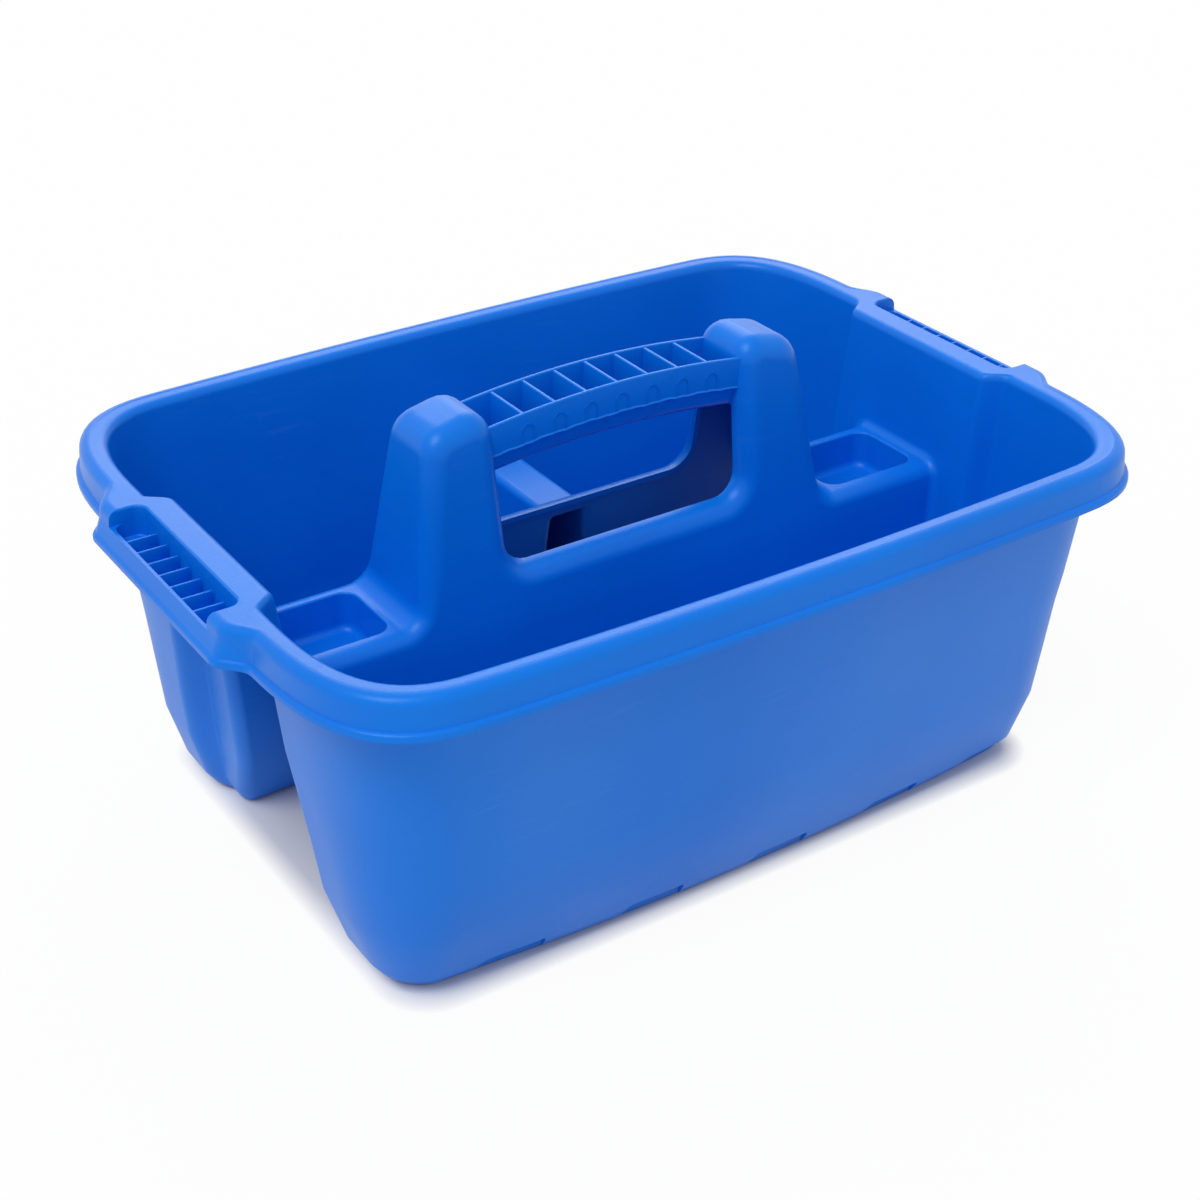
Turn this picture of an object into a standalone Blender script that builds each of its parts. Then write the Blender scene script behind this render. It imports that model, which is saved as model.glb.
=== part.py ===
"""Grooming tray: a blue moulding with two deep compartments, a hollow ridge, two posts and an arched grip.

Metres, +Z up. X runs along the long side, Y from front to back, and the origin is the middle of the
footprint at the height that the tray stands on. The real tray is a single moulding, so its sub-parts are
the regions of that moulding, each a closed solid, and SEAM is left between neighbours.
"""

import math

import bmesh
import bpy

SEAM = 0.0003
WALL = 0.0024
CUT_RUN = 0.010
MERGE_DISTANCE = 0.000001
SHARP_ANGLE = 30

RIM_LENGTH = 0.400
RIM_WIDTH = 0.303
RIM_TOP = 0.1645
RIM_HEIGHT = 0.0165
RIM_CORNER_RADIUS = 0.047
RIM_SIDE_BOW = 0.0057
RIM_END_BOW = 0.0050
RIM_OVERHANG = 0.0140
RIM_OUTER_FILLET = 0.0045
RIM_INNER_FILLET = 0.0040
SKIRT_THICKNESS = 0.0022
SKIRT_LEAN = 0.0012
BEAD_HEIGHT = 0.0035
BEAD_STEP = 0.0006
RIM_LEG = 0.0018
ROOF_BEVEL = 0.002
ROOF_SETBACK = 0.001
SHOULDER_GAP = 0.002
SHOULDER_RUN = 0.020

END_WALL_DRAFT = 0.091
SIDE_WALL_DRAFT = 0.115
RIM_LEG_DRAFT = 0.1
BAND_HEIGHT = 0.036
BAND_RUN = 0.0140
KNEE_HEIGHT = 0.011
KNEE_RUN = 0.0070
BAND_CORNER_RADIUS = 0.029
BASE_CORNER_RADIUS = 0.018
BASE_SIDE_BOW = 0.0085
LEAST_CORNER_RADIUS = 0.004
HALF_SPLIT = 0.001
FLOOR = 0.0026

RECESS_HALF = 0.050
RECESS_BLEND = 0.014
RECESS_DEPTH = 0.0096
RECESS_DEPTH_AT_BASE = 0.0030

CHANNEL_HALF_AT_SHELF = 0.0256
CHANNEL_DRAFT = 0.075
CHANNEL_BAND_RUN = 0.0175
SHELF_TOP = 0.113
SHELF_EDGE_RADIUS = 0.007
SHELF_DEPTH = 0.009
BRIDGE_DEPTH = 0.0045
MOUTH_DEPTH = 0.020

SILL_TOP = 0.125
SILL_LIP = 0.0065
SILL_RADIUS = 0.008

POST_INNER = 0.0600
POST_INNER_LEAN = 0.030
POST_OUTER = 0.1035
POST_OUTER_LEAN = 0.155
POST_HALF_WIDTH = 0.0262
POST_SIDE_LEAN = 0.125
POST_TOP = 0.196
POST_EDGE_RADIUS = 0.009
POST_CROWN = 0.015
POST_FLARE = 0.0052
MOUTH_REACH = 0.012
MOUTH_MARGIN = 0.001
CROWN_INNER_SHARE = 0.6
CROWN_SIDE_SHARE = 0.6
ROUND_SHARE = 0.95

GRIP_HALF_WIDTH = 0.0142
GRIP_TOP_AT_POSTS = 0.1885
GRIP_DEPTH = 0.0230
GRIP_KEEL_SHARE = 0.55
GRIP_RISE = 0.0047
GRIP_WALL = 0.0018
RIB_COUNT = 7
RIB_PITCH = 0.0155
RIB_THICKNESS = 0.0016
RIB_DROP = 0.0004

POCKET_INNER = 0.1110
POCKET_OUTER = 0.1690
POCKET_HALF_WIDTH = 0.0215
POCKET_CORNER_RADIUS = 0.0085
POCKET_DEPTH = 0.018
POCKET_DRAFT = 0.06

PARTITION_TOP = 0.1145
PARTITION_HALF = 0.0105
PARTITION_DRAFT = 0.075
PARTITION_BAND_RUN = 0.010
PARTITION_BACK_WALLS = 2.2
PARTITION_MOUTH_RUN = 0.020

HANDLE_REACH = 0.0095
HANDLE_HALF = 0.0600
HANDLE_BLEND = 0.0140
TROUGH_INSET = 0.0095
TROUGH_HALF = 0.0475
TROUGH_CORNER_RADIUS = 0.005
TROUGH_DEPTH = 0.0125
TROUGH_TAPER = 0.0006
TROUGH_OUTER_WALL = 0.0016
TROUGH_FLOOR = 0.0018
FIN_COUNT = 7
FIN_PITCH = 0.0107
FIN_FIRST = 0.0240
FIN_THICKNESS = 0.0012
FIN_LENGTH = 0.0118
FIN_DROP = 0.0020
FIN_NOSE = 0.003
COMB_FLOOR = 0.001

CORNER_CUT_X = 0.128
CORNER_CUT_Y = 0.069
RIM_CUT_Y = HANDLE_HALF + HANDLE_BLEND + SHOULDER_GAP
ARC_STEPS = 6
BLEND_STEPS = 5
SIDE_STEPS = 8
GRIP_STEPS = 12
CROWN_STEPS = 5
FAR = 0.5

FLANGE_BOTTOM = RIM_TOP - RIM_HEIGHT
WALL_TOP = RIM_TOP - RIM_INNER_FILLET - RIM_LEG
TROUGH_INNER = RIM_LENGTH / 2 - TROUGH_INSET
SHELF_BOTTOM = SHELF_TOP - SHELF_DEPTH
POST_SHOULDER = POST_TOP - POST_CROWN

BLUE = (0.020, 0.170, 0.620, 1.0)


def clear_scene():
    for item in list(bpy.data.objects):
        bpy.data.objects.remove(item, do_unlink=True)
    for block in (bpy.data.meshes, bpy.data.materials):
        for item in list(block):
            block.remove(item)


def polypropylene(name):
    """Semi-matte blue polypropylene, one material for each sub-part."""
    material = bpy.data.materials.new(name + "_polypropylene")
    material.use_nodes = True
    shader = material.node_tree.nodes["Principled BSDF"]
    shader.inputs["Base Color"].default_value = BLUE
    shader.inputs["Roughness"].default_value = 0.38
    shader.inputs["Metallic"].default_value = 0.0
    material.diffuse_color = BLUE
    return material


def smooth_step(value):
    t = min(1.0, max(0.0, value))
    return t * t * (3.0 - 2.0 * t)


def blend(stations, z):
    """Values at height z from (height, values) stations, straight between them and held past the ends."""
    if z <= stations[0][0]:
        return stations[0][1]
    for (low, first), (high, second) in zip(stations, stations[1:]):
        if z <= high:
            t = (z - low) / (high - low)
            return tuple(a + (b - a) * t for a, b in zip(first, second))
    return stations[-1][1]


def arc(centre, radius, start, end, steps=ARC_STEPS):
    """Points on an arc, angles in degrees."""
    points = []
    for k in range(steps + 1):
        angle = math.radians(start + (end - start) * k / steps)
        points.append((centre[0] + radius * math.cos(angle), centre[1] + radius * math.sin(angle)))
    return points


def wall_section():
    """Outer surface of the tub walls: half length, half width, corner radius, side bow, recess depth."""
    overhang = RIM_OVERHANG
    half_length = RIM_LENGTH / 2 - overhang
    half_width = RIM_WIDTH / 2 - overhang
    drop = FLANGE_BOTTOM - BAND_HEIGHT
    rise = WALL_TOP - FLANGE_BOTTOM
    radius = RIM_CORNER_RADIUS - overhang
    band_length = half_length - drop * END_WALL_DRAFT
    band_width = half_width - drop * SIDE_WALL_DRAFT
    base = (
        band_length - BAND_RUN,
        band_width - BAND_RUN,
        BASE_CORNER_RADIUS,
        BASE_SIDE_BOW,
        RECESS_DEPTH_AT_BASE,
    )
    band = (band_length, band_width, BAND_CORNER_RADIUS, RIM_SIDE_BOW, RECESS_DEPTH)
    knee = (
        base[0] + KNEE_RUN,
        base[1] + KNEE_RUN,
        (BASE_CORNER_RADIUS + BAND_CORNER_RADIUS) / 2,
        (BASE_SIDE_BOW + RIM_SIDE_BOW) / 2,
        (RECESS_DEPTH_AT_BASE + RECESS_DEPTH) / 2,
    )
    top = (
        half_length + rise * END_WALL_DRAFT,
        half_width + rise * SIDE_WALL_DRAFT,
        radius,
        RIM_SIDE_BOW,
        RECESS_DEPTH,
    )
    return [(0.0, base), (KNEE_HEIGHT, knee), (BAND_HEIGHT, band), (WALL_TOP, top)]


def end_stations(corner_y, half, blend_run):
    """Places along an end where points lie, from its corner to the middle."""
    places = [corner_y, (corner_y + half + blend_run) / 2]
    places += [half + blend_run * (1 - k / BLEND_STEPS) for k in range(BLEND_STEPS + 1)]
    places += [half / 2]
    return places


def outline(half_length, half_width, radius, side_bow, end_bow, shift, half, blend_run):
    """Bowed rectangle with round corners, whose ends move by shift within half of the middle."""
    x0 = half_length - radius
    y0 = half_width - radius
    quarter = [(x0 * (k / SIDE_STEPS), half_width) for k in range(SIDE_STEPS)]
    quarter += arc((x0, y0), radius, 90, 0)
    for y in end_stations(y0, half, blend_run)[1:]:
        move = shift * smooth_step((half + blend_run - y) / blend_run)
        quarter.append((half_length + move, y))
    bowed = []
    for x, y in quarter:
        bowed.append((x - end_bow * (y / half_width) ** 2, y - side_bow * (x / half_length) ** 2))
    middle = (half_length + shift, 0.0)
    right = bowed + [middle] + [(x, -y) for x, y in reversed(bowed)]
    return right + [(-x, y) for x, y in reversed(right[1:-1])]


def wall_outline(z, inset):
    half_length, half_width, radius, bow, recess = blend(wall_section(), z)
    return outline(
        half_length - inset,
        half_width - inset,
        max(radius - inset, LEAST_CORNER_RADIUS),
        bow,
        RIM_END_BOW,
        -recess,
        RECESS_HALF,
        RECESS_BLEND,
    )


def mesh_object(name, vertices, faces):
    mesh = bpy.data.meshes.new(name)
    mesh.from_pydata(vertices, [], faces)
    build = bmesh.new()
    build.from_mesh(mesh)
    bmesh.ops.recalc_face_normals(build, faces=build.faces)
    build.to_mesh(mesh)
    build.free()
    item = bpy.data.objects.new(name, mesh)
    bpy.context.scene.collection.objects.link(item)
    return item


def loft(name, rings, closed=False):
    """Solid through rings of equal length: capped at both ends, or closed into a loop."""
    count = len(rings[0])
    vertices = [point for ring in rings for point in ring]
    faces = []
    spans = len(rings) if closed else len(rings) - 1
    for i in range(spans):
        a = i * count
        b = ((i + 1) % len(rings)) * count
        for j in range(count):
            k = (j + 1) % count
            faces.append((a + j, a + k, b + k, b + j))
    if not closed:
        faces.append(tuple(reversed(range(count))))
        faces.append(tuple(range((len(rings) - 1) * count, len(rings) * count)))
    return mesh_object(name, vertices, faces)


def stack(name, levels):
    """Loft of plan outlines, each given with its height."""
    return loft(name, [[(x, y, z) for x, y in points] for z, points in levels])


def box(name, low, high):
    corners = [(low[0], low[1]), (high[0], low[1]), (high[0], high[1]), (low[0], high[1])]
    return stack(name, [(low[2], corners), (high[2], corners)])


def along_x(name, sections):
    """Loft of (y, z) outlines, each given with its place along X."""
    return loft(name, [[(x, y, z) for y, z in points] for x, points in sections])


def combine(item, other, operation):
    """Apply an exact Boolean to item and remove the other object."""
    modifier = item.modifiers.new("boolean", "BOOLEAN")
    modifier.operation = operation
    modifier.solver = "EXACT"
    modifier.object = other
    graph = bpy.context.evaluated_depsgraph_get()
    mesh = bpy.data.meshes.new_from_object(item.evaluated_get(graph))
    item.modifiers.clear()
    item.data = mesh
    bpy.data.objects.remove(other, do_unlink=True)
    return item


def copy_of(item, name):
    twin = bpy.data.objects.new(name, item.data.copy())
    bpy.context.scene.collection.objects.link(twin)
    return twin


def clip(item, low, high):
    """Keep what lies between two corners; None leaves a side open."""
    low = [-FAR if value is None else value for value in low]
    high = [FAR if value is None else value for value in high]
    return combine(item, box("clip_box", low, high), "INTERSECT")


def finish(item, name):
    """Name a sub-part, tidy its mesh and give it its material."""
    build = bmesh.new()
    build.from_mesh(item.data)
    bmesh.ops.remove_doubles(build, verts=build.verts, dist=MERGE_DISTANCE)
    bmesh.ops.recalc_face_normals(build, faces=build.faces)
    build.to_mesh(item.data)
    build.free()
    item.data.shade_smooth()
    item.data.set_sharp_from_angle(angle=math.radians(SHARP_ANGLE))
    item.name = name
    item.data.name = name
    item.data.materials.clear()
    item.data.materials.append(polypropylene(name))
    return item


def mirrored(item, name, axes):
    """Copy mirrored in the given axes, with its faces turned back outwards."""
    twin = copy_of(item, name)
    signs = [-1 if axis in axes else 1 for axis in "xyz"]
    build = bmesh.new()
    build.from_mesh(twin.data)
    for vertex in build.verts:
        vertex.co = [value * sign for value, sign in zip(vertex.co, signs)]
    bmesh.ops.recalc_face_normals(build, faces=build.faces)
    build.to_mesh(twin.data)
    build.free()
    return finish(twin, name)


def channel_half(z):
    """Half width of the open channel under the ridge."""
    half = CHANNEL_HALF_AT_SHELF + (SHELF_TOP - max(z, BAND_HEIGHT)) * CHANNEL_DRAFT
    if z < BAND_HEIGHT:
        half += (BAND_HEIGHT - z) * CHANNEL_BAND_RUN / BAND_HEIGHT
    return half


def ridge_outline(top, outset):
    """Section of the ridge in Y and Z, straight-topped, from below the base to the given height."""
    heights = [-FLOOR, BAND_HEIGHT, top]
    right = [(channel_half(z) + outset, z) for z in heights]
    return right + [(-y, z) for y, z in reversed(right)]


def ridge_block(name, top, outset):
    section = ridge_outline(top, outset)
    return along_x(name, [(-FAR / 2, section), (FAR / 2, section)])


def wall_solid(name, inset, low, high):
    levels = sorted({low, high} | {z for z, _ in wall_section() if low < z < high})
    return stack(name, [(z, wall_outline(z, inset)) for z in levels])


def partition_half(z):
    half = PARTITION_HALF + (PARTITION_TOP - max(z, BAND_HEIGHT)) * PARTITION_DRAFT
    if z < BAND_HEIGHT:
        half += (BAND_HEIGHT - z) * PARTITION_BAND_RUN / BAND_HEIGHT
    return half


def partition_block(name, top, outset, front, back):
    heights = [-FLOOR, BAND_HEIGHT, top]
    right = [(partition_half(z) + outset, z) for z in heights]
    section = right + [(-x, z) for x, z in reversed(right)]
    return loft(name, [[(x, y, z) for x, z in section] for y in (front, back)])


def cavity(name, low, high):
    """Hollow of both compartments between two heights, without the ridge and the partition."""
    space = wall_solid(name, WALL, low, high)
    combine(space, ridge_block("ridge_cut", FAR / 2, WALL), "DIFFERENCE")
    return combine(space, partition_block("partition_cut", PARTITION_TOP, 0.0, 0.0, FAR / 2), "DIFFERENCE")


def build_bases():
    """Floors of the two compartments with the leaning band that rises from each."""
    for name, low_y, high_y in (("front_tub_base", None, -HALF_SPLIT), ("back_tub_base", HALF_SPLIT, None)):
        pan = wall_solid(name, 0.0, 0.0, BAND_HEIGHT - SEAM / 2)
        combine(pan, cavity("pan_hollow", FLOOR, BAND_HEIGHT + CUT_RUN), "DIFFERENCE")
        combine(pan, ridge_block("channel", SHELF_TOP, 0.0), "DIFFERENCE")
        if low_y:
            hollow = partition_block("partition_hollow", PARTITION_TOP - WALL, -WALL, 0.0, partition_back())
            combine(pan, hollow, "DIFFERENCE")
        finish(clip(pan, (None, low_y, None), (None, high_y, None)), name)


def partition_back():
    """Place along Y where the hollow of the partition ends, one wall short of the back wall."""
    base_width = blend(wall_section(), 0.0)[1]
    return base_width - PARTITION_BACK_WALLS * WALL


def build_walls():
    """Tub walls above the band, cut at the long sides, the corners and the ends."""
    bottom = BAND_HEIGHT + SEAM / 2
    shell = wall_solid("shell", 0.0, bottom, WALL_TOP)
    combine(shell, wall_solid("shell_hollow", WALL, bottom - CUT_RUN, WALL_TOP + CUT_RUN), "DIFFERENCE")
    combine(shell, ridge_block("channel", SHELF_BOTTOM, 0.0), "DIFFERENCE")
    half = SEAM / 2
    side = clip(copy_of(shell, "side"), (-CORNER_CUT_X + half, None, None), (CORNER_CUT_X - half, 0, None))
    finish(side, "front_side_wall")
    mirrored(side, "back_side_wall", "y")
    low = (None, None, None)
    corner = clip(copy_of(shell, "corner"), low, (-CORNER_CUT_X - half, -CORNER_CUT_Y - half, None))
    finish(corner, "front_left_corner_wall")
    mirrored(corner, "front_right_corner_wall", "x")
    mirrored(corner, "back_left_corner_wall", "y")
    mirrored(corner, "back_right_corner_wall", "xy")
    inner_cut = channel_half(SHELF_BOTTOM)
    end = clip(copy_of(shell, "end"), (None, -CORNER_CUT_Y + half, None), (0, -inner_cut - half, None))
    finish(end, "front_left_end_wall")
    mirrored(end, "front_right_end_wall", "x")
    mirrored(end, "back_left_end_wall", "y")
    mirrored(end, "back_right_end_wall", "xy")
    low = (None, -inner_cut + half, SHELF_TOP - BRIDGE_DEPTH)
    middle = clip(shell, low, (0, inner_cut - half, None))
    finish(middle, "left_end_bridge")
    mirrored(middle, "right_end_bridge", "x")


def rim_profile(hollow):
    """Rim section as (inset from the flange edge, height); hollow below the top between skirt and wall."""
    top = RIM_TOP
    low = FLANGE_BOTTOM
    skirt_top = top - RIM_OUTER_FILLET
    points = [(0.0, low), (0.0, low + BEAD_HEIGHT), (BEAD_STEP, low + BEAD_HEIGHT + BEAD_STEP / 2)]
    outer = BEAD_STEP + SKIRT_LEAN
    for x, z in arc((outer + RIM_OUTER_FILLET, skirt_top), RIM_OUTER_FILLET, 180, 90, 4):
        points.append((x, z))
    wall_outer = RIM_OVERHANG - (WALL_TOP - FLANGE_BOTTOM) * RIM_LEG_DRAFT
    wall_inner = wall_outer + WALL
    low_inner = WALL_TOP + SEAM
    for x, z in arc((wall_inner - RIM_INNER_FILLET, top - RIM_INNER_FILLET), RIM_INNER_FILLET, 90, 0, 4):
        points.append((x, z))
    points.append((wall_inner, low_inner))
    points.append((wall_outer, low_inner))
    roof = top - WALL
    if hollow:
        points.append((wall_outer - ROOF_SETBACK, roof))
        points.append((outer + SKIRT_THICKNESS + ROOF_BEVEL, roof))
        points.append((outer + SKIRT_THICKNESS, roof - ROOF_BEVEL))
        points.append((SKIRT_THICKNESS + BEAD_STEP, low))
    else:
        under = top - TROUGH_DEPTH - TROUGH_FLOOR
        points.append((wall_outer - 2 * ROOF_SETBACK, low_inner))
        points.append((wall_outer - 2 * ROOF_SETBACK, under))
        points.append((outer + SKIRT_THICKNESS, under))
        points.append((SKIRT_THICKNESS + BEAD_STEP, low))
    return points


def rim_outline(inset):
    """Plan outline of one point of the rim section, with the end handles worked in."""
    outer = inset < RIM_OVERHANG / 2
    shift = HANDLE_REACH if outer else -RECESS_DEPTH
    half = HANDLE_HALF if outer else RECESS_HALF
    run = HANDLE_BLEND if outer else RECESS_BLEND
    return outline(
        RIM_LENGTH / 2 - inset,
        RIM_WIDTH / 2 - inset,
        RIM_CORNER_RADIUS - inset,
        RIM_SIDE_BOW,
        RIM_END_BOW,
        shift,
        half,
        run,
    )


def rim_loop(name, hollow):
    rings = []
    for inset, z in rim_profile(hollow):
        rings.append([(x, y, z) for x, y in rim_outline(inset)])
    return loft(name, rings, closed=True)


def build_rim():
    """Rolled rim: long sides, four corners, and the wider middle of each end, which is a lifting handle."""
    half = SEAM / 2
    loop = rim_loop("rim", True)
    limit = CORNER_CUT_X
    side = clip(copy_of(loop, "side"), (-limit + half, None, None), (limit - half, 0, None))
    finish(side, "front_rim")
    mirrored(side, "back_rim", "y")
    low = (None, None, None)
    corner = clip(loop, low, (-limit - half, -RIM_CUT_Y - half, None))
    finish(corner, "front_left_rim_corner")
    mirrored(corner, "front_right_rim_corner", "x")
    mirrored(corner, "back_left_rim_corner", "y")
    mirrored(corner, "back_right_rim_corner", "xy")


def rounded_rectangle(low, high, radius, steps=4):
    points = []
    points += arc((high[0] - radius, high[1] - radius), radius, 0, 90, steps)
    points += arc((low[0] + radius, high[1] - radius), radius, 90, 180, steps)
    points += arc((low[0] + radius, low[1] + radius), radius, 180, 270, steps)
    points += arc((high[0] - radius, low[1] + radius), radius, 270, 360, steps)
    return points


def trough_outer():
    """Inner face of the outer trough wall, measured from the middle of the tray."""
    return RIM_LENGTH / 2 + HANDLE_REACH - BEAD_STEP - SKIRT_LEAN - TROUGH_OUTER_WALL


def build_handles():
    """Lifting handles: the rim's wide middle at each end, with an open trough crossed by thin fins."""
    half = SEAM / 2
    handle = clip(rim_loop("handle", False), (0, -RIM_CUT_Y + half, None), (None, RIM_CUT_Y - half, None))
    floor = RIM_TOP - TROUGH_DEPTH
    low = (TROUGH_INNER, -TROUGH_HALF)
    high = (trough_outer(), TROUGH_HALF)
    levels = []
    for z, inset in ((floor, TROUGH_TAPER), (RIM_TOP + ROOF_BEVEL, 0.0)):
        levels.append((z, rounded_rectangle(
            (low[0] + inset, low[1] + inset), (high[0] - inset, high[1] - inset), TROUGH_CORNER_RADIUS)))
    combine(handle, stack("trough", levels), "DIFFERENCE")
    roof = RIM_TOP - WALL
    inner = TROUGH_INNER - WALL
    leg = RIM_LENGTH / 2 - RIM_OVERHANG + (WALL_TOP - FLANGE_BOTTOM) * RIM_LEG_DRAFT
    wall_face = leg - RECESS_DEPTH
    run = RIM_CUT_Y + CUT_RUN
    hollow = box("under", (wall_face + ROOF_SETBACK, -run, 0.0), (inner, run, roof))
    combine(handle, hollow, "DIFFERENCE")
    reach = HANDLE_HALF + HANDLE_BLEND / 2
    for sign in (-1, 1):
        side = sorted((sign * (TROUGH_HALF + SHOULDER_GAP), sign * (reach + SHOULDER_RUN)))
        skirt = RIM_LENGTH / 2 - BEAD_STEP - SKIRT_LEAN - SKIRT_THICKNESS - ROOF_SETBACK
        pocket = box("shoulder", (leg + ROOF_SETBACK, side[0], 0.0), (skirt, side[1], roof))
        combine(handle, pocket, "DIFFERENCE")
    finish(handle, "right_end_handle")
    mirrored(handle, "left_end_handle", "x")


def build_fins():
    """Comb of thin fins standing on the trough's floor, from its outer wall inwards."""
    outer = trough_outer() - SEAM - TROUGH_TAPER
    inner = outer - FIN_LENGTH
    low = RIM_TOP - TROUGH_DEPTH + SEAM
    high = RIM_TOP - FIN_DROP
    near = (TROUGH_INNER + TROUGH_TAPER + SEAM, TROUGH_TAPER + SEAM - TROUGH_HALF)
    radius = TROUGH_CORNER_RADIUS
    plan = rounded_rectangle(near, (outer, -near[1]), radius)
    comb = stack("comb", [(low, plan), (low + COMB_FLOOR, plan)])
    section = [(outer, low + COMB_FLOOR / 2), (outer, high), (inner + FIN_NOSE, high)]
    section += arc((inner + FIN_NOSE, high - FIN_NOSE), FIN_NOSE, 90, 180, 3)[1:]
    section += [(inner, low + COMB_FLOOR / 2)]
    for k in range(FIN_COUNT):
        y = FIN_FIRST - k * FIN_PITCH
        rings = [[(x, y + side * FIN_THICKNESS / 2, z) for x, z in section] for side in (-1, 1)]
        combine(comb, loft("fin", rings), "UNION")
    finish(comb, "right_handle_fins")
    mirrored(comb, "left_handle_fins", "x")


def ridge_wall_section(bottom, top):
    half = [(channel_half(z), z) for z in (bottom, top)]
    outer = [(channel_half(z) + WALL, z) for z in (top, bottom)]
    return half + outer


def partition_opening():
    """Cutter for the mouth of the hollow partition in the back wall of the ridge."""
    back = channel_half(0.0) + PARTITION_MOUTH_RUN
    return partition_block("opening", PARTITION_TOP - WALL, -WALL, 0.0, back)


def build_ridge():
    """Leaning walls of the hollow ridge, and the rolled sill on each between the posts."""
    bottom = BAND_HEIGHT + SEAM / 2
    top = SHELF_BOTTOM - SEAM / 2
    section = ridge_wall_section(bottom, top)
    back = along_x("back_ridge_wall", [(-FAR / 2, section), (FAR / 2, section)])
    combine(back, wall_solid("room", WALL + SEAM, bottom - CUT_RUN, top + CUT_RUN), "INTERSECT")
    front = mirrored(back, "front_ridge_wall", "y")
    finish(front, "front_ridge_wall")
    side = clip(copy_of(back, "side"), (0.0, None, None), (None, None, None))
    bpy.data.objects.remove(back, do_unlink=True)
    combine(side, partition_opening(), "DIFFERENCE")
    finish(side, "back_right_ridge_wall")
    mirrored(side, "back_left_ridge_wall", "x")
    low = SHELF_BOTTOM + SEAM / 2
    outer_low = channel_half(low) + WALL
    outer_high = channel_half(SILL_TOP) + WALL
    lip = channel_half(SILL_TOP) + WALL - SILL_RADIUS - SILL_LIP + WALL
    bend = arc((outer_high - SILL_RADIUS, SILL_TOP - SILL_RADIUS), SILL_RADIUS, 0, 90, 5)
    inside = arc((outer_high - SILL_RADIUS, SILL_TOP - SILL_RADIUS), SILL_RADIUS - WALL, 90, 0, 5)
    section = [(outer_low - WALL, low), (outer_low, low)] + bend
    section += [(lip, SILL_TOP), (lip, SILL_TOP - WALL)] + inside
    length = POST_INNER - SEAM
    sill = along_x("sill", [(-length, section), (length, section)])
    mirrored(sill, "front_sill", "y")
    combine(sill, partition_opening(), "DIFFERENCE")
    finish(sill, "back_sill")


def shelf_section(inset):
    """Section of the ridge top in Y and Z, with its edges rounded, set in by the wall when hollow."""
    low = SHELF_BOTTOM + SEAM / 2
    outer = channel_half(SHELF_TOP) + WALL - inset
    high = SHELF_TOP - inset
    radius = SHELF_EDGE_RADIUS - inset
    right = [(channel_half(low) + WALL - inset, low)]
    right += arc((outer - radius, high - radius), radius, 0, 90, 5)
    return right + [(-y, z) for y, z in reversed(right)]


def pocket_outline(inset):
    return rounded_rectangle(
        (POCKET_INNER + inset, -POCKET_HALF_WIDTH + inset),
        (POCKET_OUTER - inset, POCKET_HALF_WIDTH - inset),
        POCKET_CORNER_RADIUS - inset,
    )


def build_shelves():
    """Flat top of the ridge beyond each post, and the small open cup that hangs in it."""
    inner = POST_OUTER + POST_FLARE + SEAM
    solid = []
    for inset, extra in ((0.0, 0.0), (WALL, CUT_RUN)):
        section = shelf_section(inset)
        if extra:
            section = [(section[0][0], section[0][1] - extra)] + section
            section += [(section[-1][0], section[-1][1] - extra)]
        solid.append(along_x("shelf", [(inner - extra, section), (FAR / 2, section)]))
    shelf = combine(solid[0], solid[1], "DIFFERENCE")
    room = wall_solid("room", WALL + SEAM, SHELF_BOTTOM - CUT_RUN, SHELF_TOP + CUT_RUN)
    combine(shelf, room, "INTERSECT")
    heights = (SHELF_TOP - MOUTH_DEPTH, SHELF_TOP + CUT_RUN)
    mouth = stack("mouth", [(z, pocket_outline(0.0)) for z in heights])
    combine(shelf, mouth, "DIFFERENCE")
    finish(shelf, "right_shelf")
    mirrored(shelf, "left_shelf", "x")
    floor = SHELF_TOP - POCKET_DEPTH
    lean = POCKET_DRAFT * POCKET_DEPTH
    cup = stack("cup", [
        (floor - WALL, pocket_outline(SEAM + lean)),
        (SHELF_TOP - SEAM, pocket_outline(SEAM)),
    ])
    hollow = stack("cup_hollow", [
        (floor, pocket_outline(SEAM + lean + WALL)),
        (SHELF_TOP + WALL, pocket_outline(SEAM + WALL)),
    ])
    finish(combine(cup, hollow, "DIFFERENCE"), "right_pocket_cup")
    mirrored(cup, "left_pocket_cup", "x")


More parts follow.
